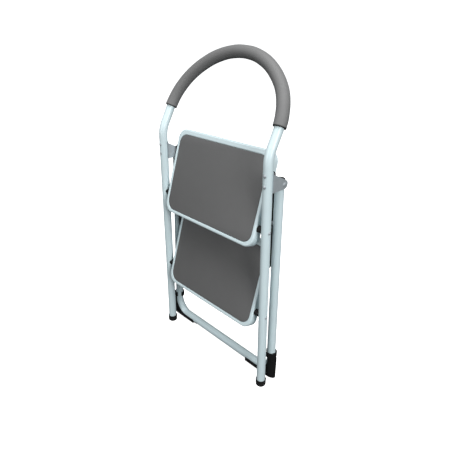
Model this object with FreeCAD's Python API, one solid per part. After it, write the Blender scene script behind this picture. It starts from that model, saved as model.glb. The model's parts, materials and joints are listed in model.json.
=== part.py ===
import FreeCAD, Part
import math
import os

# Two-step folding step stool, modelled folded, in millimetres, +Z up, +X to the stool's left-right
# width, +Y from the climbing side towards the back.  The front frame stands upright; the treads and
# the rear frame are folded against it.  Every angle named "open" is the stool standing in use.

Vector = FreeCAD.Vector
X_AXIS = Vector(1, 0, 0)
Y_AXIS = Vector(0, 1, 0)
Z_AXIS = Vector(0, 0, 1)

# ---- tube and front frame -------------------------------------------------------------------
TUBE_R = 12.7             # 25.4 mm round steel tube
TUBE_WALL = 1.2
FOOT_X = 221.3            # centre of a front leg at the floor
LEG_LEAN = 0.0093         # the front legs close in by this much per millimetre of height
BEND_Z = 708.0            # where the legs turn back into the hoop
BEND_R = 85.0
HOOP_TILT = 28.0          # the hoop leans back from the legs, degrees
HOOP_SIDE = 66.0          # straight side of the hoop, measured along its slope
HOOP_SIDE_LEAN = 0.6      # degrees
HOOP_TOP = 253.0          # crown of the hoop, measured along its slope
HOOP_CORNER_R = 167.6     # shoulder radius of the hoop
FOAM_R = 17.3
FOAM_BORE_R = 13.0
FOAM_START = 73.5         # where the foam sleeve begins, measured along the slope

# ---- front feet ---------------------------------------------------------------------------------
CAP_R = 15.3
CAP_HEIGHT = 21.0
CAP_FLOOR = 5.0
CAP_EDGE = 4.0

# ---- treads -------------------------------------------------------------------------------------
PIVOT_Z = {"upper": 511.0, "lower": 250.0}
TREAD_FOLDED = 73.0       # turn of a tread about X, from level to folded
TRAY_HALF = 191.4
TRAY_FRONT = -58.0        # front edge, from the pivot
TRAY_REAR = 204.0
TRAY_TOP = 11.9           # crest of the rim above the pivot line
TRAY_DEPTH = 24.7
TRAY_CORNER_R = 32.0
TRAY_EDGE_R = 4.5
SHEET = 1.2
MAT_HALF = 180.0
MAT_FRONT = -47.0
MAT_REAR = 188.0
MAT_CORNER_R = 29.0
MAT_THICK = 2.0
MAT_GAP = 1.0             # between the mat's edge and the rim it is let into
POCKET_FLOOR = 9.3        # the pressed-down middle of the tray, above the pivot line
CREST_R = 1.5             # inner rounding of the rim

# ---- link bars ----------------------------------------------------------------------------------
LINK_REACH = 143.3        # from the tread's pivot to the link rivet, along the tread
LINK_X = 193.1            # inner face of the bar
LINK_THICK = 2.5
LINK_HALF = 11.0
LINK_RIVET_R = 2.9
WASHER_R = 7.5

# ---- rear frame ---------------------------------------------------------------------------------
HINGE_Y = 47.9
HINGE_Z = 631.6
REAR_X = 213.8            # centre of a rear leg at the hinge
REAR_SPLAY = 0.0193       # the rear legs open out by this much per millimetre downwards
REAR_REST = 1.0           # the folded rear frame hangs this far in from vertical, degrees
CROSS_DROP = 600.5        # from the hinge down to the bottom crossbar's centre
REAR_BEND_R = 50.0
REAR_TOP = 12.0           # tube end above the hinge
REAR_CAP_R = 13.8
REAR_CAP_LOW = -9.5
REAR_CAP_TOP = 14.0
REAR_CAP_EDGE = 3.5
OPEN_TREAD_TURN = 50.0    # the treads' turn from folded to level
OPEN_REAR_TURN = 47.95    # the rear frame's turn over the same travel
SLIDE_PIN_DROP = 114.9    # slide pin, from the hinge down the rear leg
SLIDE_PIN_R = 3.0
SLIDE_COLLAR_R = 5.0      # shoulder of the slide pin, between the leg and the link bar
SLIDE_SEAT = 10.0         # from the leg's centre to the pin's head inside the tube
SLIDE_HEAD_H = 1.0        # low enough to pass the tread's side
SLIDE_GAP = 0.35          # play of the link bar between the pin's shoulder and its head
SLOT_CLEARANCE = 0.3
SLOT_STEPS = 8            # points that shape each side of the slot

# ---- hinge brackets -----------------------------------------------------------------------------
BRACKET_SHEET = 2.0
EAR_X = 228.0             # inner face of the outer ear
CHEEK_X = 197.6           # inner face of the inner ear
EAR_R = 12.0
WEB_Y = 9.0               # front of the web that carries the inner ear
BRACKET_LOW = 619.0
BRACKET_HIGH = 669.0
BRACKET_RIVET_Z = (634.5, 662.5)

# ---- corner shoes -------------------------------------------------------------------------------
SHOE_R = 15.7             # outside of the sleeve
COLLAR_R = 17.3           # the thicker ring at the sleeve's top
TROUGH_HALF = 16.0        # half the trough's width
SHOE_SOLE = 16.2          # from the crossbar's centre to the flat sole, square to it
SHOE_DEPTH = 27.0         # from the crossbar's centre down to the lowest material
SOLE_TILT = 24.0          # slope that puts the sole flat on the floor when the stool stands open
SHOE_TOP = 106.0
HEEL_CORNER_R = 14.0
CLIP_HEIGHT = 15.0
CLIP_MOUTH = (9.0, 68.0)  # opening of the clip ring, degrees from inwards towards the front
TROUGH_END_X = 132.0
TONGUE = 10.0
TONGUE_WIDTH = 12.0

# ---- fasteners ----------------------------------------------------------------------------------
PIVOT_RIVET_R = 3.0
HINGE_PIN_R = 3.5
HOLE_CLEARANCE = 0.05
HEAD_R = 5.2
HEAD_H = 2.0
PIN_HEAD_R = 6.0
PIN_HEAD_H = 1.6          # the flatter heads between the link bars and their neighbours

SIDES = {"left": -1, "right": 1}
# The origin is on the floor, under the middle of the folded stool's depth.
ORIGIN_SHIFT = Vector(0, -54.43, 0)


def leg_x(z):
    """Centre of the right front leg at a height."""
    return FOOT_X - LEG_LEAN * z


def rear_leg_x(drop):
    """Centre of the right rear leg at a distance below the hinge."""
    return REAR_X + REAR_SPLAY * drop


def cylinder_between(start, end, radius):
    """A round bar from one point to another."""
    run = end - start
    return Part.makeCylinder(radius, run.Length, start, run)


def arc(start, middle, end):
    return Part.Arc(start, middle, end).toShape()


def line(start, end):
    return Part.makeLine(start, end)


def rivet(start, end, steps, head_r=HEAD_R, head_h=HEAD_H):
    """A turned pin with a domed head outside each end; steps are (radius, length) from the start."""
    length = (end - start).Length
    ball_r = (head_r ** 2 + head_h ** 2) / (2.0 * head_h)
    half = math.asin(head_r / ball_r) / 2.0
    dome_x = ball_r * math.sin(half)
    dome_rise = head_h - ball_r * (1.0 - math.cos(half))
    outline = [Vector(head_r, 0, 0)]
    along = 0.0
    for radius, run in steps:
        outline.append(Vector(radius, 0, along))
        along += run
        outline.append(Vector(radius, 0, along))
    outline.append(Vector(head_r, 0, length))
    bottom = Vector(0, 0, -head_h)
    top = Vector(0, 0, length + head_h)
    edges = [arc(bottom, Vector(dome_x, 0, -dome_rise), outline[0])]
    edges.extend(line(here, there) for here, there in zip(outline, outline[1:]))
    edges.append(arc(outline[-1], Vector(dome_x, 0, length + dome_rise), top))
    edges.append(line(top, bottom))
    pin = Part.Face(Part.Wire(edges)).revolve(Vector(0, 0, 0), Z_AXIS, 360)
    pin.Placement = FreeCAD.Placement(start, FreeCAD.Rotation(Z_AXIS, end - start))
    return pin


def plain_rivet(start, end, radius, head_r=HEAD_R, head_h=HEAD_H):
    return rivet(start, end, [(radius, (end - start).Length)], head_r, head_h)


def corner(before, vertex, after, radius):
    """Start, middle and end of the arc that rounds a corner of a path."""
    back = (before - vertex).normalize()
    ahead = (after - vertex).normalize()
    half = math.acos(max(-1.0, min(1.0, back.dot(ahead)))) / 2.0
    reach = radius / math.tan(half)
    centre_way = (back + ahead).normalize()
    centre = vertex + centre_way * (radius / math.sin(half))
    return vertex + back * reach, centre - centre_way * radius, vertex + ahead * reach


def sweep(edges, radius):
    """A round bar along a path of tangent runs and arcs."""
    path = Part.Wire(edges)
    start = path.Edges[0].valueAt(path.Edges[0].FirstParameter)
    way = path.Edges[0].tangentAt(path.Edges[0].FirstParameter)
    ring = Part.Wire(Part.makeCircle(radius, start, way))
    return path.makePipeShell([ring], True, False)


def hollow(edges, outer, inner):
    return sweep(edges, outer).cut(sweep(edges, inner))


def mirrored(shape):
    return shape.mirror(Vector(0, 0, 0), X_AXIS)


def on_side(shape, sign):
    """The right-hand shape itself, or its mirror image for the left."""
    return shape if sign > 0 else mirrored(shape)


def both_sides(shape):
    return [shape, mirrored(shape)]


def solids_of(shapes):
    """All the separate solids of a list of shapes."""
    found = []
    for shape in shapes:
        found.extend(shape.Solids)
    return found


def save(node, shapes):
    """Write one node's solids, moved to the part's origin."""
    solids = solids_of(shapes)
    whole = solids[0] if len(solids) == 1 else Part.makeCompound(solids)
    whole.translate(ORIGIN_SHIFT)
    whole.exportStep("parts/%s.step" % node)
    box = whole.optimalBoundingBox(False)
    print("%-24s %2d solid(s) valid %s  x %.1f..%.1f  y %.1f..%.1f  z %.1f..%.1f" % (
        node, len(solids), whole.isValid(), box.XMin, box.XMax, box.YMin, box.YMax, box.ZMin, box.ZMax))


# ---- front frame ------------------------------------------------------------------------------
def hoop_point(x, along):
    """A point of the hoop's tilted plane, from its width and its distance up the slope."""
    tilt = math.radians(HOOP_TILT)
    return Vector(x, along * math.sin(tilt), BEND_Z + along * math.cos(tilt))


def hoop_arcs():
    """Centres and radii of the hoop's shoulder arc and crown arc, in its own plane."""
    lean = math.radians(HOOP_SIDE_LEAN)
    side_x = leg_x(BEND_Z) - HOOP_SIDE * math.tan(lean)
    shoulder_x = side_x - HOOP_CORNER_R * math.cos(lean)
    shoulder_up = HOOP_SIDE - HOOP_CORNER_R * math.sin(lean)
    drop = shoulder_up - HOOP_TOP
    crown_r = (HOOP_CORNER_R ** 2 - shoulder_x ** 2 - drop ** 2) / (2.0 * (drop + HOOP_CORNER_R))
    return side_x, shoulder_x, shoulder_up, crown_r


def hoop_edges(first_angle):
    """Shoulder, crown and shoulder arcs, from first_angle above the shoulder's own level."""
    _, shoulder_x, shoulder_up, crown_r = hoop_arcs()
    join = math.atan2(shoulder_up - (HOOP_TOP - crown_r), shoulder_x)

    def on_shoulder(angle):
        return (shoulder_x + HOOP_CORNER_R * math.cos(angle), shoulder_up + HOOP_CORNER_R * math.sin(angle))

    ends = [on_shoulder(angle) for angle in (first_angle, (first_angle + join) / 2.0, join)]
    right = [hoop_point(x, up) for x, up in ends]
    left = [hoop_point(-x, up) for x, up in ends]
    crown = hoop_point(0, HOOP_TOP)
    return [arc(left[0], left[1], left[2]), arc(left[2], crown, right[2]), arc(right[2], right[1], right[0])]


def front_tube():
    """The legs and the hoop, one bent tube."""
    side_x, _, _, _ = hoop_arcs()
    side_top = hoop_point(side_x, HOOP_SIDE)
    vertex = hoop_point(leg_x(BEND_Z), 0)
    foot = Vector(leg_x(CAP_FLOOR), 0, CAP_FLOOR)
    start, middle, end = corner(foot, vertex, side_top, BEND_R)
    right = [(foot, start), (start, middle, end), (end, side_top)]
    edges = []
    for run in right:
        points = [Vector(-p.x, p.y, p.z) for p in run]
        edges.append(line(*points) if len(points) == 2 else arc(*points))
    edges.extend(hoop_edges(math.radians(HOOP_SIDE_LEAN)))
    for run in reversed(right):
        points = list(reversed(run))
        edges.append(line(*points) if len(points) == 2 else arc(*points))
    tube = hollow(edges, TUBE_R, TUBE_R - TUBE_WALL)
    for sign in SIDES.values():
        for height in PIVOT_Z.values():
            across = Part.makeCylinder(PIVOT_RIVET_R + HOLE_CLEARANCE, 60.0,
                                       Vector(sign * leg_x(height) - 30.0, 0, height), X_AXIS)
            tube = tube.cut(across)
        for height in BRACKET_RIVET_Z:
            through = Part.makeCylinder(PIVOT_RIVET_R + HOLE_CLEARANCE, 60.0,
                                        Vector(sign * leg_x(height), -30.0, height), Y_AXIS)
            tube = tube.cut(through)
    return tube


def foam_grip():
    """The foam sleeve on the hoop."""
    _, _, shoulder_up, _ = hoop_arcs()
    edges = hoop_edges(math.asin((FOAM_START - shoulder_up) / HOOP_CORNER_R))
    return hollow(edges, FOAM_R, FOAM_BORE_R)


def front_foot_cap():
    """A rubber cup over the end of a front leg."""
    cap = Part.makeCylinder(CAP_R, CAP_HEIGHT, Vector(FOOT_X, 0, 0), Z_AXIS)
    bottom = [edge for edge in cap.Edges if edge.BoundBox.ZMax < 0.01]
    cap = cap.makeFillet(CAP_EDGE, bottom)
    leg = cylinder_between(Vector(leg_x(CAP_FLOOR), 0, CAP_FLOOR), Vector(leg_x(80.0), 0, 80.0),
                           TUBE_R + HOLE_CLEARANCE)
    return cap.cut(leg)


def bracket_ear(inner_x):
    """One cheek of the bracket, in a plane across the stool."""
    root_y = 5.0
    outline = Part.makePolygon([
        Vector(inner_x, root_y, BRACKET_LOW),
        Vector(inner_x, HINGE_Y, HINGE_Z - EAR_R),
        Vector(inner_x, HINGE_Y, HINGE_Z + 5.0),
        Vector(inner_x, HINGE_Y + 4.9, HINGE_Z + 10.9),
        Vector(inner_x, root_y, BRACKET_HIGH - 2.0),
        Vector(inner_x, root_y, BRACKET_LOW)])
    ear = Part.Face(outline).extrude(Vector(BRACKET_SHEET, 0, 0))
    return ear.fuse(Part.makeCylinder(EAR_R, BRACKET_SHEET, Vector(inner_x, HINGE_Y, HINGE_Z), X_AXIS))


def hinge_bracket():
    """Sheet saddle round the back of the leg, with two ears that carry the rear leg's hinge pin."""
    middle = (BRACKET_LOW + BRACKET_HIGH) / 2.0
    centre_x = leg_x(middle)
    height = BRACKET_HIGH - BRACKET_LOW
    inner = TUBE_R + HOLE_CLEARANCE
    saddle = Part.makeCylinder(inner + BRACKET_SHEET, height, Vector(centre_x, 0, BRACKET_LOW), Z_AXIS)
    saddle = saddle.common(Part.makeBox(60.0, 30.0, height, Vector(centre_x - 30.0, 4.0, BRACKET_LOW)))
    web = Part.makeBox(centre_x - CHEEK_X, BRACKET_SHEET, height - 8.0, Vector(CHEEK_X, WEB_Y, BRACKET_LOW))
    bracket = saddle.fuse([web, bracket_ear(EAR_X), bracket_ear(CHEEK_X)]).removeSplitter()
    leg = cylinder_between(Vector(leg_x(500.0), 0, 500.0), Vector(leg_x(700.0), 0, 700.0), inner)
    bracket = bracket.cut(leg)
    bracket = bracket.cut(Part.makeCylinder(HINGE_PIN_R + HOLE_CLEARANCE, 2.0 * (EAR_X - CHEEK_X),
                                            Vector(CHEEK_X - 5.0, HINGE_Y, HINGE_Z), X_AXIS))
    for rivet_z in BRACKET_RIVET_Z:
        bracket = bracket.cut(Part.makeCylinder(PIVOT_RIVET_R + HOLE_CLEARANCE, 30.0,
                                                Vector(leg_x(rivet_z), 0, rivet_z), Y_AXIS))
    return bracket


def bracket_rivets():
    shapes = []
    for rivet_z in BRACKET_RIVET_Z:
        front = Vector(leg_x(rivet_z), -TUBE_R, rivet_z)
        back = Vector(leg_x(rivet_z), TUBE_R + BRACKET_SHEET + HOLE_CLEARANCE, rivet_z)
        shapes.extend(both_sides(plain_rivet(front, back, PIVOT_RIVET_R)))
    return shapes


def hinge_pin():
    """The pin through the bracket's two ears and the rear leg's capped end between them."""
    outer = Vector(EAR_X + BRACKET_SHEET, HINGE_Y, HINGE_Z)
    inner = Vector(CHEEK_X, HINGE_Y, HINGE_Z)
    return plain_rivet(outer, inner, HINGE_PIN_R, PIN_HEAD_R, PIN_HEAD_H)


def pivot_rivets(tread):
    """The rivets that a tread turns on, one through each front leg."""
    height = PIVOT_Z[tread]
    outer = Vector(leg_x(height) + TUBE_R, 0, height)
    inner = Vector(TRAY_HALF - SHEET - HOLE_CLEARANCE, 0, height)
    return both_sides(plain_rivet(outer, inner, PIVOT_RIVET_R))


def spacer(tread):
    """The plastic bush between a front leg and a tread, hollowed to sit on the tube."""
    height = PIVOT_Z[tread]
    start_x = TRAY_HALF + 0.25
    length = leg_x(height) - start_x
    body = Part.makeCone(9.5, 8.0, length, Vector(start_x, 0, height), X_AXIS)
    leg = cylinder_between(Vector(leg_x(0), 0, 0), Vector(leg_x(BEND_Z), 0, BEND_Z), TUBE_R + HOLE_CLEARANCE)
    bore = Part.makeCylinder(PIVOT_RIVET_R + HOLE_CLEARANCE, length, Vector(start_x, 0, height), X_AXIS)
    return body.cut(leg).cut(bore)


# ---- treads -----------------------------------------------------------------------------------
def rounded_slab(half, front, rear, corner_r, low, high, edge_r=0.0):
    """A slab with rounded corners, and a rounded top edge if edge_r is given."""
    slab = Part.makeBox(2.0 * half, rear - front, high - low, Vector(-half, front, low))
    upright = [edge for edge in slab.Edges if edge.BoundBox.ZLength > 0.9 * (high - low)]
    slab = slab.makeFillet(corner_r, upright)
    if edge_r:
        top = [edge for edge in slab.Edges if edge.BoundBox.ZMin > high - 0.01]
        slab = slab.makeFillet(edge_r, top)
    return slab


def fold_tread(shape, tread):
    """Turn a level tread's shape about its pivot, up to where it lies when folded."""
    placed = shape.copy()
    placed.rotate(Vector(0, 0, 0), X_AXIS, TREAD_FOLDED)
    placed.translate(Vector(0, 0, PIVOT_Z[tread]))
    return placed


def pocket_slab(grow, low, high):
    """The mat's outline, grown by a margin, as a slab."""
    return rounded_slab(MAT_HALF + grow, MAT_FRONT - grow, MAT_REAR + grow, MAT_CORNER_R + grow, low, high)


def tread_tray():
    """The pressed sheet tray with its raised rim, level, with its pivot line on the X axis."""
    low = TRAY_TOP - TRAY_DEPTH
    outside = rounded_slab(TRAY_HALF, TRAY_FRONT, TRAY_REAR, TRAY_CORNER_R, low, TRAY_TOP, TRAY_EDGE_R)
    inside = rounded_slab(TRAY_HALF - SHEET, TRAY_FRONT + SHEET, TRAY_REAR - SHEET, TRAY_CORNER_R - SHEET,
                          low - 1.0, TRAY_TOP - SHEET, TRAY_EDGE_R - SHEET)
    inside = inside.cut(pocket_slab(MAT_GAP + SHEET, POCKET_FLOOR - SHEET, TRAY_TOP))
    tray = outside.cut(inside).cut(pocket_slab(MAT_GAP, POCKET_FLOOR, TRAY_TOP + 1.0))
    reach = MAT_HALF + MAT_GAP + 0.1
    crest = [edge for edge in tray.Edges if edge.BoundBox.ZMin > TRAY_TOP - 0.01
             and max(edge.BoundBox.XMax, -edge.BoundBox.XMin) < reach
             and MAT_FRONT - MAT_GAP - 0.1 < edge.BoundBox.YMin and edge.BoundBox.YMax < MAT_REAR + MAT_GAP + 0.1]
    tray = tray.makeFillet(CREST_R, crest)
    for reach, radius in ((0.0, PIVOT_RIVET_R), (LINK_REACH, LINK_RIVET_R)):
        bore = Part.makeCylinder(radius + HOLE_CLEARANCE, 2.0 * TRAY_HALF + 20.0,
                                 Vector(-TRAY_HALF - 10.0, reach, 0), X_AXIS)
        tray = tray.cut(bore)
    return tray


def tread_mat():
    """The anti-slip mat glued into the tray's pocket."""
    return pocket_slab(0.0, POCKET_FLOOR, POCKET_FLOOR + MAT_THICK)


# ---- link bars --------------------------------------------------------------------------------
def link_end(tread):
    """Where a link bar's rivet lies on a folded tread."""
    turn = math.radians(TREAD_FOLDED)
    return Vector(0, LINK_REACH * math.cos(turn), PIVOT_Z[tread] + LINK_REACH * math.sin(turn))


def slot_point(share):
    """Where the slide pin is in the link bar, with the stool opened by a share of its travel."""
    tread = math.radians(TREAD_FOLDED - OPEN_TREAD_TURN * share)
    folded = link_end("upper")
    shift_y = LINK_REACH * math.cos(tread) - folded.y
    shift_z = PIVOT_Z["upper"] + LINK_REACH * math.sin(tread) - folded.z
    rear = math.radians(OPEN_REAR_TURN * share - REAR_REST)
    pin_y = HINGE_Y + SLIDE_PIN_DROP * math.sin(rear)
    pin_z = HINGE_Z - SLIDE_PIN_DROP * math.cos(rear)
    return Vector(LINK_X, pin_y - shift_y, pin_z - shift_z)


def link_slot():
    """The curved slot of a link bar: the slide pin's way along the bar, with its clearance."""
    reach = SLIDE_PIN_R + SLOT_CLEARANCE
    front = []
    back = []
    for step in range(SLOT_STEPS + 1):
        share = step / float(SLOT_STEPS)
        here = slot_point(share)
        way = (slot_point(share + 0.01) - slot_point(share - 0.01)).normalize()
        across = X_AXIS.cross(way) * reach
        front.append(here + across)
        back.append(here - across)
        if step == 0:
            low_tip = here - way * reach
        high_tip = here + way * reach
    edges = []
    for points in (front, back):
        curve = Part.BSplineCurve()
        curve.interpolate(points)
        edges.append(curve.toShape())
    edges.insert(1, arc(front[-1], high_tip, back[-1]))
    edges.append(arc(back[0], low_tip, front[0]))
    return Part.Face(Part.Wire(edges)).extrude(Vector(LINK_THICK, 0, 0))


def link_bar():
    """The flat bar that joins both treads, with the slot that the rear leg's pin slides in."""
    high = link_end("upper")
    low = link_end("lower")
    high.x = low.x = LINK_X
    bar = Part.makeBox(LINK_THICK, 2.0 * LINK_HALF, high.z - low.z, Vector(LINK_X, low.y - LINK_HALF, low.z))
    for end in (high, low):
        bar = bar.fuse(Part.makeCylinder(LINK_HALF, LINK_THICK, end, X_AXIS))
    bar = bar.removeSplitter()
    for end in (high, low):
        bar = bar.cut(Part.makeCylinder(LINK_RIVET_R + HOLE_CLEARANCE, LINK_THICK, end, X_AXIS))
    return bar.cut(link_slot())


def link_rivets(tread):
    end = link_end(tread)
    outer = Vector(LINK_X + LINK_THICK, end.y, end.z)
    inner = Vector(TRAY_HALF - SHEET, end.y, end.z)
    return both_sides(plain_rivet(outer, inner, LINK_RIVET_R, HEAD_R, PIN_HEAD_H))


def link_washers(tread):
    """The nylon washers between a tray's flange and the link bars."""
    end = link_end(tread)
    gap = LINK_X - TRAY_HALF
    washer = Part.makeCylinder(WASHER_R, gap - 0.3, Vector(TRAY_HALF + 0.1, end.y, end.z), X_AXIS)
    bore = Part.makeCylinder(LINK_RIVET_R + HOLE_CLEARANCE, gap, Vector(TRAY_HALF, end.y, end.z), X_AXIS)
    return both_sides(washer.cut(bore))


# ---- rear frame, built hanging straight down from the hinge and then swung to its rest ------------
def rear_point(drop):
    """A point on the right rear leg's centre line, at a distance below the hinge."""
    return Vector(rear_leg_x(drop), HINGE_Y, HINGE_Z - drop)


def swing_rear(shape):
    placed = shape.copy()
    placed.rotate(Vector(0, HINGE_Y, HINGE_Z), X_AXIS, -REAR_REST)
    return placed


def rear_corner_path(leg_top, cross_end_x):
    """Leg, rounded corner and crossbar of the right-hand side, down and in."""
    vertex = rear_point(CROSS_DROP)
    cross_end = Vector(cross_end_x, HINGE_Y, vertex.z)
    start, middle, end = corner(leg_top, vertex, cross_end, REAR_BEND_R)
    return [(leg_top, start), (start, middle, end), (end, cross_end)]


def path_edges(runs):
    return [line(*run) if len(run) == 2 else arc(*run) for run in runs]


def rear_tube():
    """The rear legs and the bottom crossbar, one bent tube."""
    right = rear_corner_path(rear_point(-REAR_TOP), 0.0)
    runs = right + [tuple(Vector(-p.x, p.y, p.z) for p in reversed(run)) for run in reversed(right)]
    tube = hollow(path_edges(runs), TUBE_R, TUBE_R - TUBE_WALL)
    for sign in SIDES.values():
        hinge = rear_point(0.0)
        slide = rear_point(SLIDE_PIN_DROP)
        hinge_bore = Part.makeCylinder(HINGE_PIN_R + HOLE_CLEARANCE, 4.0 * TUBE_R,
                                       Vector(sign * hinge.x - 2.0 * TUBE_R, hinge.y, hinge.z), X_AXIS)
        slide_bore = Part.makeCylinder(SLIDE_PIN_R + HOLE_CLEARANCE, 2.0 * TUBE_R,
                                       Vector(sign * slide.x, slide.y, slide.z), X_AXIS * -sign)
        tube = tube.cut([hinge_bore, slide_bore])
    return tube


def rear_leg_cap():
    """The plastic cap over the top end of a rear leg, with the hinge pin's hole."""
    low = rear_point(-REAR_CAP_LOW)
    cap = cylinder_between(low, rear_point(-REAR_CAP_TOP), REAR_CAP_R)
    rim = [edge for edge in cap.Edges if edge.BoundBox.ZMin > HINGE_Z + REAR_CAP_TOP - 1.0]
    cap = cap.makeFillet(REAR_CAP_EDGE, rim)
    cap = cap.cut(cylinder_between(rear_point(40.0), rear_point(-REAR_TOP - 0.1), TUBE_R + HOLE_CLEARANCE))
    bore = Part.makeCylinder(HINGE_PIN_R + HOLE_CLEARANCE, 60.0, Vector(REAR_X - 30.0, HINGE_Y, HINGE_Z), X_AXIS)
    return cap.cut(bore)


def shoe_window(clip_low, corner_point, trough_end):
    """The open inner side of a corner shoe: everything inside the bend of the tube's centre line."""
    start, middle, end = corner(clip_low, corner_point, trough_end, REAR_BEND_R)
    inside = Vector(trough_end.x, HINGE_Y, clip_low.z)
    outline = [line(clip_low, start), arc(start, middle, end), line(end, trough_end),
               line(trough_end, inside), line(inside, clip_low)]
    face = Part.Face(Part.Wire(outline))
    face.translate(Y_AXIS * -2.0 * SHOE_R)
    return face.extrude(Y_AXIS * 4.0 * SHOE_R)


def clip_mouth(clip_top):
    """The wedge cut out of a shoe's clip ring, so that it snaps over the leg."""
    reach = 2.0 * SHOE_R
    corners = [clip_top]
    for turn in CLIP_MOUTH:
        angle = math.radians(turn)
        corners.append(clip_top + Vector(-reach * math.cos(angle), -reach * math.sin(angle), 0))
    corners.append(clip_top)
    wedge = Part.Face(Part.makePolygon(corners))
    wedge.translate(Z_AXIS * CLIP_HEIGHT)
    return wedge.extrude(Z_AXIS * -2.5 * CLIP_HEIGHT)


def below_sole(corner_point):
    """Everything below the sloping sole of a corner shoe."""
    reach = 400.0
    ground = Part.makeBox(reach, reach, reach, Vector(0, -reach / 2.0, -reach - SHOE_SOLE))
    ground.rotate(Vector(0, 0, 0), X_AXIS, -SOLE_TILT)
    ground.translate(Vector(0, corner_point.y, corner_point.z))
    return ground


def corner_shoe():
    """The plastic shoe on a rear corner: half sleeve with a clip ring, filled heel and open trough."""
    corner_point = rear_point(CROSS_DROP)
    clip_top = rear_point(HINGE_Z - SHOE_TOP)
    clip_low = rear_point(HINGE_Z - SHOE_TOP + CLIP_HEIGHT)
    low_z = corner_point.z - SHOE_DEPTH
    block = Part.makeBox(corner_point.x + TROUGH_HALF - TROUGH_END_X, 2.0 * TROUGH_HALF,
                         SHOE_DEPTH + REAR_BEND_R, Vector(TROUGH_END_X, HINGE_Y - TROUGH_HALF, low_z))
    upright = [edge for edge in block.Edges if edge.BoundBox.ZLength > REAR_BEND_R
               and edge.BoundBox.XMin > corner_point.x]
    block = block.makeFillet(HEEL_CORNER_R, upright)
    tongue = Part.makeBox(TONGUE, TONGUE_WIDTH, SHOE_DEPTH,
                          Vector(TROUGH_END_X - TONGUE, HINGE_Y - TONGUE_WIDTH / 2.0, low_z))
    sleeve = cylinder_between(clip_top, corner_point, SHOE_R)
    collar = cylinder_between(clip_top, clip_low, COLLAR_R)
    shoe = sleeve.fuse([collar, block, tongue]).removeSplitter()
    shoe = shoe.cut(below_sole(corner_point))
    tube_path = path_edges(rear_corner_path(rear_point(CROSS_DROP / 2.0), TROUGH_END_X / 2.0))
    shoe = shoe.cut(sweep(tube_path, TUBE_R + HOLE_CLEARANCE))
    trough_end = Vector(TROUGH_END_X - 2.0 * TONGUE, HINGE_Y, corner_point.z)
    shoe = shoe.cut(shoe_window(clip_low, corner_point, trough_end))
    return shoe.cut(clip_mouth(clip_top))


def slide_pin():
    """The pin through a rear leg that slides in the link bar's slot."""
    centre = rear_point(SLIDE_PIN_DROP)
    outer = Vector(centre.x - SLIDE_SEAT, centre.y, centre.z)
    inner = Vector(LINK_X - SLIDE_GAP, centre.y, centre.z)
    collar_start = centre.x - TUBE_R - HOLE_CLEARANCE
    collar_end = LINK_X + LINK_THICK + SLIDE_GAP
    steps = [(SLIDE_PIN_R, outer.x - collar_start),
             (SLIDE_COLLAR_R, collar_start - collar_end),
             (SLIDE_PIN_R, collar_end - inner.x)]
    return rivet(outer, inner, steps, HEAD_R, SLIDE_HEAD_H)


def main():
    os.makedirs("parts", exist_ok=True)
    save("front_frame_tube", [front_tube()])
    save("foam_grip", [foam_grip()])
    save("bracket_rivets", bracket_rivets())
    save("rear_frame_tube", [swing_rear(rear_tube())])
    for side, sign in SIDES.items():
        save("front_foot_cap_" + side, [on_side(front_foot_cap(), sign)])
        save("hinge_bracket_" + side, [on_side(hinge_bracket(), sign)])
        save("hinge_pin_" + side, [on_side(hinge_pin(), sign)])
        save("rear_leg_cap_" + side, [on_side(swing_rear(rear_leg_cap()), sign)])
        save("corner_shoe_" + side, [on_side(swing_rear(corner_shoe()), sign)])
        save("slide_pin_" + side, [on_side(swing_rear(slide_pin()), sign)])
        save("link_bar_" + side, [on_side(link_bar(), sign)])
    for tread in PIVOT_Z:
        save(tread + "_tread_tray", [fold_tread(tread_tray(), tread)])
        save(tread + "_tread_mat", [fold_tread(tread_mat(), tread)])
        save(tread + "_pivot_rivets", pivot_rivets(tread))
        save(tread + "_link_rivets", link_rivets(tread))
        save(tread + "_link_washers", link_washers(tread))
        for side, sign in SIDES.items():
            save("%s_spacer_%s" % (tread, side), [on_side(spacer(tread), sign)])


main()
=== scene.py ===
# %% [markdown]
# # A folding two-step stool, dressed for the studio
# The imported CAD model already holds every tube, tray, rivet and joint at its true size.  This lesson
# puts the looks round it: paint, zinc, rubber and foam, and new meshes for the soft foam sleeve, the
# mats and the rubber feet, whose real shapes are softer than a machined solid.
# Everything is in metres, in the CAD model's own frame: +Z up, +Y from the climbing side to the back.

# %% Load the frame
import json
import math

import bmesh
import bpy
from mathutils import Matrix, Vector, noise

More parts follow.
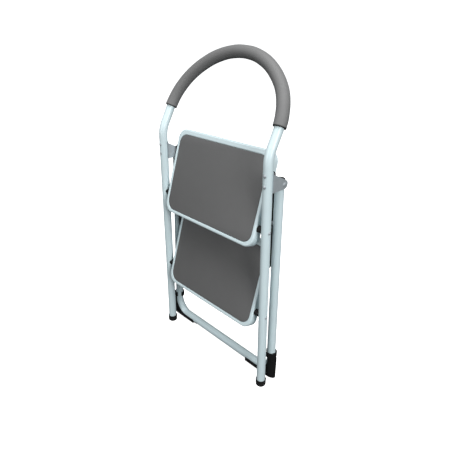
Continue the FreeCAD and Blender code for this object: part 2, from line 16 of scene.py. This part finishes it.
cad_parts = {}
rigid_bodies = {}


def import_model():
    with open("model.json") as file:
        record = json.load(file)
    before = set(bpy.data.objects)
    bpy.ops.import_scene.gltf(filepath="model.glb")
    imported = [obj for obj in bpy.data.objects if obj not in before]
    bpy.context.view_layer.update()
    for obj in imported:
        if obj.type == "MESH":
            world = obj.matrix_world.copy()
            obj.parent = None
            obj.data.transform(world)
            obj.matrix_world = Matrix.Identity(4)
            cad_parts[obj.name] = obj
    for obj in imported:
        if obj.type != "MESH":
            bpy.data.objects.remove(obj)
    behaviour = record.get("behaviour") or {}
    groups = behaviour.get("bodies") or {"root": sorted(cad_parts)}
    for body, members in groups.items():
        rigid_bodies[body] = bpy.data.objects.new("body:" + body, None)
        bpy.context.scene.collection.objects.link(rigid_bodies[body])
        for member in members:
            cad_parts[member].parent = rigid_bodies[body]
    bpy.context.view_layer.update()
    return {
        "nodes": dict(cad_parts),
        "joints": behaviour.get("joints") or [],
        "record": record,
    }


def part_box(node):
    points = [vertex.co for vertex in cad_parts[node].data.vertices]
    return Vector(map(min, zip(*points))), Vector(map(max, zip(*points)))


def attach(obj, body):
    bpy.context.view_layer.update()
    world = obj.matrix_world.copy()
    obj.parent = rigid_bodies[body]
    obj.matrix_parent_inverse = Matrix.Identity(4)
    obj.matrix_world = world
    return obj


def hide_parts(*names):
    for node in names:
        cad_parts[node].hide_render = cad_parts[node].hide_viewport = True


for leftover in list(bpy.data.objects):
    bpy.data.objects.remove(leftover)
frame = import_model()

# %% [markdown]
# ## Small helpers for node trees
# A procedural material is a chain of nodes.  Four tiny helpers keep the chains readable: one adds a
# node and sets its sockets, one joins two sockets, and two start a node group and a noise inside it.
# Object coordinates are used throughout, because every piece sits at the origin with its place in
# its mesh, so a grain keeps its real size in metres on every piece.

# %% Node helpers
def add_node(tree, kind, **sockets):
    """A new node; keyword names are its input sockets, with _ for a space."""
    node = tree.nodes.new(kind)
    for name, value in sockets.items():
        node.inputs[name.replace("_", " ")].default_value = value
    return node


def join(tree, source, output, target, socket):
    tree.links.new(source.outputs[output], target.inputs[socket])


def new_group(name, inputs, outputs):
    """An empty shader node group with float inputs {name: default} and outputs {name: socket type}."""
    group = bpy.data.node_groups.new(name, "ShaderNodeTree")
    for label, default in inputs.items():
        socket = group.interface.new_socket(label, in_out="INPUT", socket_type="NodeSocketFloat")
        socket.default_value = default
    for label, kind in outputs.items():
        group.interface.new_socket(label, in_out="OUTPUT", socket_type=kind)
    return group, group.nodes.new("NodeGroupInput"), group.nodes.new("NodeGroupOutput")


def object_noise(tree, scale_from, scale_name, detail, roughness=0.5):
    """A noise texture on Object coordinates whose scale comes from a group input."""
    place = tree.nodes.new("ShaderNodeTexCoord")
    texture = add_node(tree, "ShaderNodeTexNoise", Detail=detail, Roughness=roughness)
    join(tree, place, "Object", texture, "Vector")
    join(tree, scale_from, scale_name, texture, "Scale")
    return texture


print("helpers ready")

# %% [markdown]
# ## Two effects that several finishes share
# **Surface grain** is the small unevenness that every finish has: the orange peel of powder coat, the
# cells of foam, the pebbling of rubber.  One group gives a height for a Bump node, and only the size
# of the grain differs.  **Handling tone** is the slow drift in shade that keeps a large plain surface
# from looking computed: a little more dust low down, where feet and floors leave it, and broad faint
# patches elsewhere.

# %% Surface grain
def make_grain_group():
    tree, given, result = new_group(
        "surface_grain", {"Coarse Scale": 300.0, "Fine Scale": 1500.0, "Fine Share": 0.4},
        {"Height": "NodeSocketFloat"})
    coarse = object_noise(tree, given, "Coarse Scale", 2.0)
    fine = object_noise(tree, given, "Fine Scale", 3.0)
    blend = tree.nodes.new("ShaderNodeMix")
    join(tree, given, "Fine Share", blend, "Factor")
    join(tree, coarse, "Fac", blend, "A")
    join(tree, fine, "Fac", blend, "B")
    join(tree, blend, "Result", result, "Height")
    return tree


grain_group = make_grain_group()
print("group", grain_group.name, "with", len(grain_group.nodes), "nodes")

# %% Handling tone
DUST_TOP = 0.30           # height up to which floor dust shows


def make_tone_group():
    tree, given, result = new_group(
        "handling_tone", {"Patch Scale": 9.0, "Patch Share": 0.5, "Dust Share": 0.5},
        {"Shade": "NodeSocketFloat"})
    patches = object_noise(tree, given, "Patch Scale", 4.0, 0.6)
    place = tree.nodes.new("ShaderNodeTexCoord")
    split = tree.nodes.new("ShaderNodeSeparateXYZ")
    join(tree, place, "Object", split, "Vector")
    height = tree.nodes.new("ShaderNodeMapRange")
    height.inputs["From Min"].default_value = DUST_TOP
    height.inputs["From Max"].default_value = 0.0
    join(tree, split, "Z", height, "Value")
    low_dust = tree.nodes.new("ShaderNodeMath")
    low_dust.operation = "MULTIPLY"
    join(tree, height, "Result", low_dust, 0)
    join(tree, given, "Dust Share", low_dust, 1)
    patch_part = tree.nodes.new("ShaderNodeMath")
    patch_part.operation = "MULTIPLY"
    join(tree, patches, "Fac", patch_part, 0)
    join(tree, given, "Patch Share", patch_part, 1)
    total = tree.nodes.new("ShaderNodeMath")
    total.operation = "ADD"
    total.use_clamp = True
    tree.links.new(low_dust.outputs[0], total.inputs[0])
    tree.links.new(patch_part.outputs[0], total.inputs[1])
    join(tree, total, "Value", result, "Shade")
    return tree


tone_group = make_tone_group()
print("group", tone_group.name, "with", len(tone_group.nodes), "nodes")

# %% [markdown]
# ## One recipe for a finish
# Every finish here is a Principled BSDF whose colour drifts between two close shades, whose roughness
# drifts a little with it, and whose surface carries a fine bump.  What changes from paint to rubber is
# the numbers, so one function takes them and names each.

# %% The finish recipe
def group_node(tree, group, **sockets):
    node = tree.nodes.new("ShaderNodeGroup")
    node.node_tree = group
    for name, value in sockets.items():
        node.inputs[name.replace("_", " ")].default_value = value
    return node


def make_finish(name, shades, rough, grain, bump, tone=(9.0, 0.8, 0.3), **sockets):
    """A material: shades (clean, worn), rough (clean, worn), grain (coarse, fine, share), bump (mm)."""
    material = bpy.data.materials.new(name)
    material.use_nodes = True
    tree = material.node_tree
    shader = tree.nodes["Principled BSDF"]
    for socket, value in sockets.items():
        shader.inputs[socket.replace("_", " ")].default_value = value
    tones = group_node(tree, tone_group, Patch_Scale=tone[0], Patch_Share=tone[1], Dust_Share=tone[2])
    colour = tree.nodes.new("ShaderNodeMix")
    colour.data_type = "RGBA"
    colour_in, colour_end = [socket for socket in colour.inputs if socket.type == "RGBA"]
    colour_in.default_value = (*shades[0], 1.0)
    colour_end.default_value = (*shades[1], 1.0)
    colour_out = [socket for socket in colour.outputs if socket.type == "RGBA"][0]
    tree.links.new(tones.outputs["Shade"], colour.inputs["Factor"])
    tree.links.new(colour_out, shader.inputs["Base Color"])
    gloss = add_node(tree, "ShaderNodeMapRange", To_Min=rough[0], To_Max=rough[1])
    join(tree, tones, "Shade", gloss, "Value")
    join(tree, gloss, "Result", shader, "Roughness")
    texture = group_node(tree, grain_group, Coarse_Scale=grain[0], Fine_Scale=grain[1], Fine_Share=grain[2])
    relief = add_node(tree, "ShaderNodeBump", Strength=1.0, Distance=bump * 0.001)
    join(tree, texture, "Height", relief, "Height")
    join(tree, relief, "Normal", shader, "Normal")
    return material


print("recipe ready")

# %% [markdown]
# ## The stool's finishes
# * **White powder coat** on tubes and trays: a cool off-white, half gloss, with orange peel about a
#   millimetre and a half across.
# * **Mat**: a mid-grey rubber sheet, quite matt, pebbled for grip.
# * **Foam**: closed-cell sleeve, matt, with cells under a millimetre.
# * **Black mouldings** for shoes, caps and bushes, and **black paint** on the flat link bars.
# * **Zinc plate** on brackets, rivets and pins: metal, softly mottled.

# %% Make the finishes
FINISHES = {
    "white_paint": make_finish("white_powder_coat", [(0.68, 0.81, 0.84), (0.60, 0.72, 0.75)], (0.30, 0.42),
                               (450.0, 1800.0, 0.25), 0.05, Specular_IOR_Level=0.5, Coat_Weight=0.15,
                               Coat_Roughness=0.12),
    "tread_paint": make_finish("tray_powder_coat", [(0.65, 0.77, 0.80), (0.58, 0.69, 0.72)], (0.32, 0.45),
                               (450.0, 1800.0, 0.25), 0.05, Specular_IOR_Level=0.5, Coat_Weight=0.1,
                               Coat_Roughness=0.15),
    "mat": make_finish("grey_mat_rubber", [(0.135, 0.135, 0.135), (0.115, 0.115, 0.115)], (0.75, 0.9),
                       (800.0, 2500.0, 0.3), 0.12, Specular_IOR_Level=0.3),
    "foam": make_finish("foam_sleeve", [(0.17, 0.17, 0.17), (0.14, 0.14, 0.14)], (0.6, 0.75),
                        (1200.0, 4000.0, 0.5), 0.15, Specular_IOR_Level=0.5),
    "black_rubber": make_finish("black_rubber", [(0.005, 0.005, 0.006), (0.012, 0.012, 0.012)], (0.5, 0.7),
                                (700.0, 2500.0, 0.4), 0.08, Specular_IOR_Level=0.25),
    "black_plastic": make_finish("black_moulding", [(0.004, 0.004, 0.005), (0.010, 0.010, 0.010)],
                                 (0.38, 0.6), (900.0, 3000.0, 0.4), 0.05, Specular_IOR_Level=0.25),
    "black_paint": make_finish("black_bar_paint", [(0.008, 0.009, 0.011), (0.016, 0.017, 0.018)],
                               (0.35, 0.5), (500.0, 2000.0, 0.3), 0.04),
    "zinc": make_finish("zinc_plate", [(0.60, 0.65, 0.68), (0.42, 0.47, 0.50)], (0.42, 0.6),
                        (250.0, 1800.0, 0.5), 0.03, (60.0, 1.0, 0.1), Metallic=0.55),
    "nylon": make_finish("natural_nylon", [(0.66, 0.65, 0.60), (0.58, 0.57, 0.52)], (0.4, 0.55),
                         (700.0, 2500.0, 0.3), 0.03, Subsurface_Weight=0.1),
}
print(len(FINISHES), "finishes")

# %% Dress the CAD nodes
for part in frame["record"]["subparts"]:
    node = frame["nodes"][part["node"]]
    finish = FINISHES[part["material_slot"]]
    if not node.material_slots:
        node.data.materials.append(finish)
    for slot in node.material_slots:
        slot.material = finish
print(len(frame["nodes"]), "nodes dressed")

# %% [markdown]
# The sleeve's end faces carry painted shade: their colour is near-black, in place of the shadow that
# falls on them.  The sleeve's mesh will carry a mask number, 1 on the end faces and 0 on the skin,
# and the foam's colour is mixed towards near-black by it.

# %% Paint shade on the foam's end faces
def shade_foam_ends(material, dark):
    tree = material.node_tree
    shader = tree.nodes["Principled BSDF"]
    skin = shader.inputs["Base Color"].links[0].from_socket
    mask = tree.nodes.new("ShaderNodeAttribute")
    mask.attribute_name = "foam_end_shade"
    mix = tree.nodes.new("ShaderNodeMix")
    mix.data_type = "RGBA"
    first, second = [socket for socket in mix.inputs if socket.type == "RGBA"]
    # painted shade: the near-black colour given to the sleeve's end faces
    second.default_value = (dark, dark, dark, 1.0)
    tree.links.new(skin, first)
    tree.links.new(mask.outputs["Fac"], mix.inputs["Factor"])
    tree.links.new([socket for socket in mix.outputs if socket.type == "RGBA"][0], shader.inputs["Base Color"])


# painted shade on the sleeve's end faces, at a colour of 0.012
shade_foam_ends(FINISHES["foam"], 0.012)
print("cut foam is dark")

# %% [markdown]
# ## Finishing a new piece
# Each new mesh leaves its bmesh the same way: faces turned outwards, shaded smooth, given its finish,
# set to ride on its body, and the CAD node whose shape it softens is hidden.

# %% Finish a mesh
def finish_piece(mesh, name, slot, body, node, sharp=35.0):
    """Turns a bmesh into a dressed object that rides on a body and stands for a CAD node."""
    bmesh.ops.remove_doubles(mesh, verts=mesh.verts, dist=1e-6)
    bmesh.ops.recalc_face_normals(mesh, faces=mesh.faces)
    data = bpy.data.meshes.new(name)
    mesh.to_mesh(data)
    mesh.free()
    data.materials.append(FINISHES[slot])
    data.shade_smooth()
    data.set_sharp_from_angle(angle=math.radians(sharp))
    piece = bpy.data.objects.new(name, data)
    bpy.context.scene.collection.objects.link(piece)
    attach(piece, body)
    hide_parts(node)
    print(name, len(data.polygons), "faces")
    return piece


# %% [markdown]
# ## The foam sleeve
# The sleeve is a length of closed-cell foam pushed onto the hoop, so it is a thick round tube that
# follows three arcs: shoulder, crown and shoulder.  A curve with a bevel would do, but its ends would be
# hard flat discs.  Here a pair of rings, skin and bore, is spun round each arc's centre in turn, the two
# ends are bridged, and their outer rims are bevelled, because soft foam rounds off.

# %% The hoop's own plane
HOOP_TILT = math.radians(28.0)
BEND = Vector((0.0, frame["joints"][1]["pos_m"][1], 0.708))
SIDE_LEAN = math.radians(0.6)
SIDE_X = 0.21472 - 0.066 * math.tan(SIDE_LEAN)
SIDE_UP = 0.066
SHOULDER_R = 0.1676
HOOP_UP = 0.253
shoulder = Vector((SIDE_X - SHOULDER_R * math.cos(SIDE_LEAN), 0.0, SIDE_UP - SHOULDER_R * math.sin(SIDE_LEAN)))
drop = shoulder.z - HOOP_UP
crown_r = (SHOULDER_R ** 2 - shoulder.x ** 2 - drop ** 2) / (2.0 * (drop + SHOULDER_R))
crown = Vector((0.0, 0.0, HOOP_UP - crown_r))
join_angle = math.atan2(shoulder.z - crown.z, shoulder.x)
to_stool = Matrix.Translation(BEND) @ Matrix.Rotation(-HOOP_TILT, 4, "X")
print("crown radius", round(crown_r, 4), "arcs meet at", round(math.degrees(join_angle), 1), "degrees")

# %% Spin the sleeve
FOAM_R = 0.0173
BORE_R = 0.0131
UPPER_PART = 0.04         # above the shoulder's centre by this much, no point is near an end
END_SHADE_REACH = 0.0022         # how far the painted end shade reaches round onto the skin
FOAM_UP = 0.0735
RING_POINTS = 48
first_angle = math.asin((FOAM_UP - shoulder.z) / SHOULDER_R)


def spin_on(mesh, edges, centre, angle, steps):
    """Carries the open end rings round a centre and returns the new end edges."""
    spun = bmesh.ops.spin(mesh, geom=edges, cent=centre, axis=(0.0, 1.0, 0.0), angle=angle, steps=steps,
                          use_merge=False, use_normal_flip=False, use_duplicate=False)
    return [item for item in spun["geom_last"] if isinstance(item, bmesh.types.BMEdge)]


def foam_sleeve():
    mesh = bmesh.new()
    start = shoulder + Vector((math.cos(first_angle), 0.0, math.sin(first_angle))) * SHOULDER_R
    stand = Matrix.Translation(start) @ Matrix.Rotation(-first_angle, 4, "Y")
    for radius in (FOAM_R, BORE_R):
        bmesh.ops.create_circle(mesh, segments=RING_POINTS, radius=radius, cap_ends=False, matrix=stand)
    first = list(mesh.edges)
    ends = spin_on(mesh, first, shoulder, -(join_angle - first_angle), 26)
    ends = spin_on(mesh, ends, crown, -(math.pi - 2.0 * join_angle), 72)
    left_shoulder = Vector((-shoulder.x, 0.0, shoulder.z))
    ends = spin_on(mesh, ends, left_shoulder, -(join_angle - first_angle), 26)
    rims = []
    for end in (first, ends):
        bmesh.ops.bridge_loops(mesh, edges=end)
        rims.extend(edge for edge in end if edge.is_valid)
    end_shade_layer = mesh.verts.layers.float.new("foam_end_shade")
    outer = [edge for edge in rims if is_outer(edge)]
    bmesh.ops.bevel(mesh, geom=outer, offset=0.0016, segments=4, profile=0.5, affect="EDGES", material=-1)
    # painted shade mask: 1 on the flat ends and on a narrow band of skin beside them, 0 elsewhere
    for vert in mesh.verts:
        vert[end_shade_layer] = 0.0 if past_rim(vert.co, END_SHADE_REACH) else 1.0
    return mesh


def past_rim(point, margin):
    """True for a point of the sleeve that lies more than a margin from the flat ends, along the hoop."""
    ray = Vector((abs(point.x) - shoulder.x, 0.0, point.z - shoulder.z))
    along = ray.length * math.sin(math.atan2(ray.z, ray.x) - first_angle)
    return along > margin or point.z > shoulder.z + UPPER_PART


def is_outer(edge):
    """True for an edge of an end ring that lies on the sleeve's skin."""
    middle = (edge.verts[0].co + edge.verts[1].co) / 2.0
    centre = shoulder.copy()
    centre.x = math.copysign(shoulder.x, middle.x)
    flat = Vector((middle.x, 0.0, middle.z)) - centre
    return math.hypot(flat.length - SHOULDER_R, middle.y) > (FOAM_R + BORE_R) / 2.0


sleeve = foam_sleeve()
print("sleeve", len(sleeve.verts), "points")

# %% [markdown]
# Foam is never a true cylinder.  A slow noise, less than half a millimetre high, lets the skin wander
# the way a hand-pushed sleeve does, and the sleeve is then turned back into the hoop's slope.

# %% Soften and place the sleeve
WANDER = 0.0004
WANDER_SIZE = 0.03


def wander_skin(mesh):
    mesh.normal_update()
    for vert in mesh.verts:
        drift = noise.noise(vert.co / WANDER_SIZE)
        vert.co += vert.normal * (drift * WANDER)


bmesh.ops.recalc_face_normals(sleeve, faces=sleeve.faces)
wander_skin(sleeve)
bmesh.ops.transform(sleeve, matrix=to_stool, verts=sleeve.verts)
sleeve_piece = finish_piece(sleeve, "foam_sleeve", "foam", "front_frame", "foam_grip", 60.0)
low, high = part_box("foam_grip")
print("CAD sleeve from", [round(v, 3) for v in low], "to", [round(v, 3) for v in high])

# %% [markdown]
# ## The mats
# Each mat is a two-millimetre rubber sheet let into the tray.  A cut rubber edge is never razor sharp:
# it is rolled over by the knife.  A copy of the CAD sheet is merged, its flat triangles are dissolved
# back into whole faces, and the rim of the top face is bevelled.

# %% Build the mats
MAT_EDGE = 0.0008


def rounded_mat(node_name):
    source = frame["nodes"][node_name]
    mesh = bmesh.new()
    mesh.from_mesh(source.data)
    bmesh.ops.remove_doubles(mesh, verts=mesh.verts, dist=1e-5)
    bmesh.ops.dissolve_limit(mesh, angle_limit=math.radians(0.5), verts=mesh.verts, edges=mesh.edges)
    top = max(mesh.faces, key=lambda face: (round(face.calc_area(), 4), face.normal.z))
    bmesh.ops.bevel(mesh, geom=list(top.edges), offset=MAT_EDGE, segments=3, profile=0.5, affect="EDGES",
                    material=-1)
    return mesh


for tread in ("upper", "lower"):
    finish_piece(rounded_mat(tread + "_tread_mat"), tread + "_mat_sheet", "mat", tread + "_tread",
                 tread + "_tread_mat")

# %% [markdown]
# ## The rubber feet
# A foot is a moulded ferrule: a thick sole, a wall that grips the tube, two shallow grip rings and a
# rolled lip at the top.  All of that is round, so one outline is drawn in a plane and spun once.

# %% Build the feet
LIP_R = 0.0158
GROOVE = 0.0006


def foot_outline(radius, height):
    """Radius and height pairs of the ferrule's wall, from the sole's middle to the tube."""
    return [(0.0, 0.0008), (0.007, 0.0008), (0.008, 0.0), (radius - 0.004, 0.0), (radius - 0.0015, 0.0009),
            (radius - 0.0003, 0.0030), (radius, 0.0055), (radius, 0.0080), (radius - GROOVE, 0.0086),
            (radius - GROOVE, 0.0096), (radius, 0.0102), (radius, 0.0122), (radius - GROOVE, 0.0128),
            (radius - GROOVE, 0.0138), (radius, 0.0144), (radius, height - 0.0034), (LIP_R, height - 0.0026),
            (LIP_R, height - 0.0008), (LIP_R - 0.0008, height), (0.0130, height), (0.0128, height - 0.0008),
            (0.0128, 0.0060), (0.0, 0.0060)]


def rubber_foot(node_name):
    low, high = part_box(node_name)
    centre = Vector(((low[0] + high[0]) / 2.0, (low[1] + high[1]) / 2.0, low[2]))
    radius = (high[0] - low[0]) / 2.0
    mesh = bmesh.new()
    points = [mesh.verts.new((r, 0.0, z)) for r, z in foot_outline(radius, high[2] - low[2])]
    outline = [mesh.edges.new(pair) for pair in zip(points, points[1:])]
    bmesh.ops.spin(mesh, geom=points + outline, cent=(0, 0, 0), axis=(0, 0, 1), angle=2.0 * math.pi,
                   steps=64, use_merge=True, use_duplicate=False)
    bmesh.ops.translate(mesh, verts=mesh.verts, vec=centre)
    return mesh


for side in ("left", "right"):
    finish_piece(rubber_foot("front_foot_cap_" + side), "front_foot_ferrule_" + side, "black_rubber",
                 "front_frame", "front_foot_cap_" + side)

# %% [markdown]
# ## Studio
# The stool stands on a plain white floor with white behind it.  There are three soft boxes: a wide one
# overhead, one to the right that lights the tubes' right-hand sides, and one in front for the mats.  A
# dim surround fills in.  The floor is bright to the camera but gives little light back, so undersides
# stay dark.

# %% Floor and surround
def camera_switch(tree, seen, otherwise):
    """Mixes two shaders: one for what the camera sees, one for the light they give to other things."""
    path = tree.nodes.new("ShaderNodeLightPath")
    switch = tree.nodes.new("ShaderNodeMixShader")
    join(tree, path, "Is Camera Ray", switch, 0)
    tree.links.new(otherwise.outputs[0], switch.inputs[1])
    tree.links.new(seen.outputs[0], switch.inputs[2])
    return switch


def make_floor():
    mesh = bmesh.new()
    bmesh.ops.create_grid(mesh, x_segments=1, y_segments=1, size=30.0)
    data = bpy.data.meshes.new("studio_floor")
    mesh.to_mesh(data)
    mesh.free()
    material = bpy.data.materials.new("studio_white")
    material.use_nodes = True
    tree = material.node_tree
    tree.nodes.clear()
    white = add_node(tree, "ShaderNodeBsdfDiffuse", Color=(0.9, 0.9, 0.9, 1.0))
    lift = add_node(tree, "ShaderNodeEmission", Color=(1.0, 1.0, 1.0, 1.0), Strength=0.95)
    bright = tree.nodes.new("ShaderNodeAddShader")
    tree.links.new(white.outputs[0], bright.inputs[0])
    tree.links.new(lift.outputs[0], bright.inputs[1])
    dull = add_node(tree, "ShaderNodeBsdfDiffuse", Color=(0.03, 0.03, 0.03, 1.0))
    result = tree.nodes.new("ShaderNodeOutputMaterial")
    tree.links.new(camera_switch(tree, bright, dull).outputs[0], result.inputs["Surface"])
    data.materials.append(material)
    floor = bpy.data.objects.new("studio_floor", data)
    bpy.context.scene.collection.objects.link(floor)


def make_surround(fill):
    """White to the camera; a dim, slightly cool fill for everything else."""
    world = bpy.data.worlds.new("studio_surround")
    bpy.context.scene.world = world
    world.use_nodes = True
    tree = world.node_tree
    tree.nodes.clear()
    seen = add_node(tree, "ShaderNodeBackground", Color=(1.0, 1.0, 1.0, 1.0), Strength=1.3)
    dim = add_node(tree, "ShaderNodeBackground", Color=(0.92, 0.97, 1.0, 1.0), Strength=fill)
    result = tree.nodes.new("ShaderNodeOutputWorld")
    tree.links.new(camera_switch(tree, seen, dim).outputs[0], result.inputs["Surface"])


make_floor()
make_surround(0.25)
print("floor and surround made")

# %% Soft boxes
STOOL_MIDDLE = Vector((0.0, 0.0, 0.5))


def soft_box(name, place, size, power):
    """A rectangular area light that faces the stool's middle."""
    light = bpy.data.lights.new(name, "AREA")
    light.shape = "RECTANGLE"
    light.size, light.size_y = size
    light.energy = power
    lamp = bpy.data.objects.new(name, light)
    lamp.location = place
    lamp.rotation_euler = (STOOL_MIDDLE - Vector(place)).to_track_quat("-Z", "Y").to_euler()
    bpy.context.scene.collection.objects.link(lamp)
    print(name, power, "W")


# name, place (m), width and height (m), power (W)
soft_box("overhead_box", (0.4, -0.4, 4.6), (2.8, 2.8), 170.0)
soft_box("right_box", (4.6, -1.2, 2.2), (1.8, 3.0), 170.0)
soft_box("front_box", (-1.4, -5.4, 2.0), (2.6, 3.2), 100.0)

# %% [markdown]
# ## Camera
# A 35 mm lens from about a metre and a quarter, to the stool's right and well above it, gives the
# strong taper towards the floor.  The aim point is the middle of the folded stool.

# %% Place the camera
AZIMUTH = math.radians(46.94)
ELEVATION = math.radians(24.52)
AIM = Vector((0.0499, -0.0429, 0.4717))
DISTANCE = 1.25

camera_data = bpy.data.cameras.new("product_camera")
camera_data.sensor_width = 36.0
camera_data.lens = 34.72
camera = bpy.data.objects.new("product_camera", camera_data)
back = Vector((math.sin(AZIMUTH) * math.cos(ELEVATION), -math.cos(AZIMUTH) * math.cos(ELEVATION),
               math.sin(ELEVATION)))
camera.location = AIM + back * DISTANCE
camera.rotation_euler = (-back).to_track_quat("-Z", "Y").to_euler()
bpy.context.scene.collection.objects.link(camera)
bpy.context.scene.camera = camera
bpy.context.scene.view_settings.view_transform = "Standard"
print("camera at", [round(v, 3) for v in camera.location])
